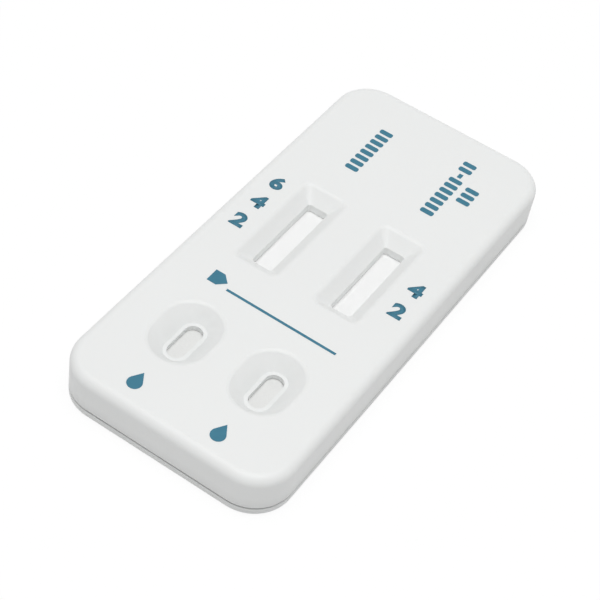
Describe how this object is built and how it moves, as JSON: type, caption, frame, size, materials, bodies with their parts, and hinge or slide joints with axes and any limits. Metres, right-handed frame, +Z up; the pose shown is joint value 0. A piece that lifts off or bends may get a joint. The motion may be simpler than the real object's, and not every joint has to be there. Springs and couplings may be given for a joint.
{
  "type": "lateral flow cassette",
  "caption": "Flat white moulded cassette with rounded corners, bevelled read windows, oval sample wells and plain teal print, holding test strips between a top and a bottom shell.",
  "frame": {"origin": "centre of the flat base, on the surface it rests on", "axes": "+Y along the cassette from the sample wells towards the labels, +X to the right seen from the wells, +Z up out of the printed face"},
  "size_m": [0.032, 0.07, 0.0068],
  "materials": {
    "housing": "fine satin moulded polystyrene",
    "ink": "flat pad-printed ink",
    "card": "smooth adhesive card",
    "membrane": "matt porous membrane",
    "conjugate": "glass fibre pad with dried pink reagent",
    "pad": "soft cellulose fibre"
  },
  "bodies": {
    "root": {"top_shell": "housing", "bottom_shell": "housing", "printed_marks": "ink", "left_backing_card": "card", "left_membrane": "membrane", "left_conjugate_pad": "conjugate", "left_sample_pad": "pad", "left_absorbent_pad": "pad", "right_backing_card": "card", "right_membrane": "membrane", "right_conjugate_pad": "conjugate", "right_sample_pad": "pad", "right_absorbent_pad": "pad"}
  },
  "joints": []
}
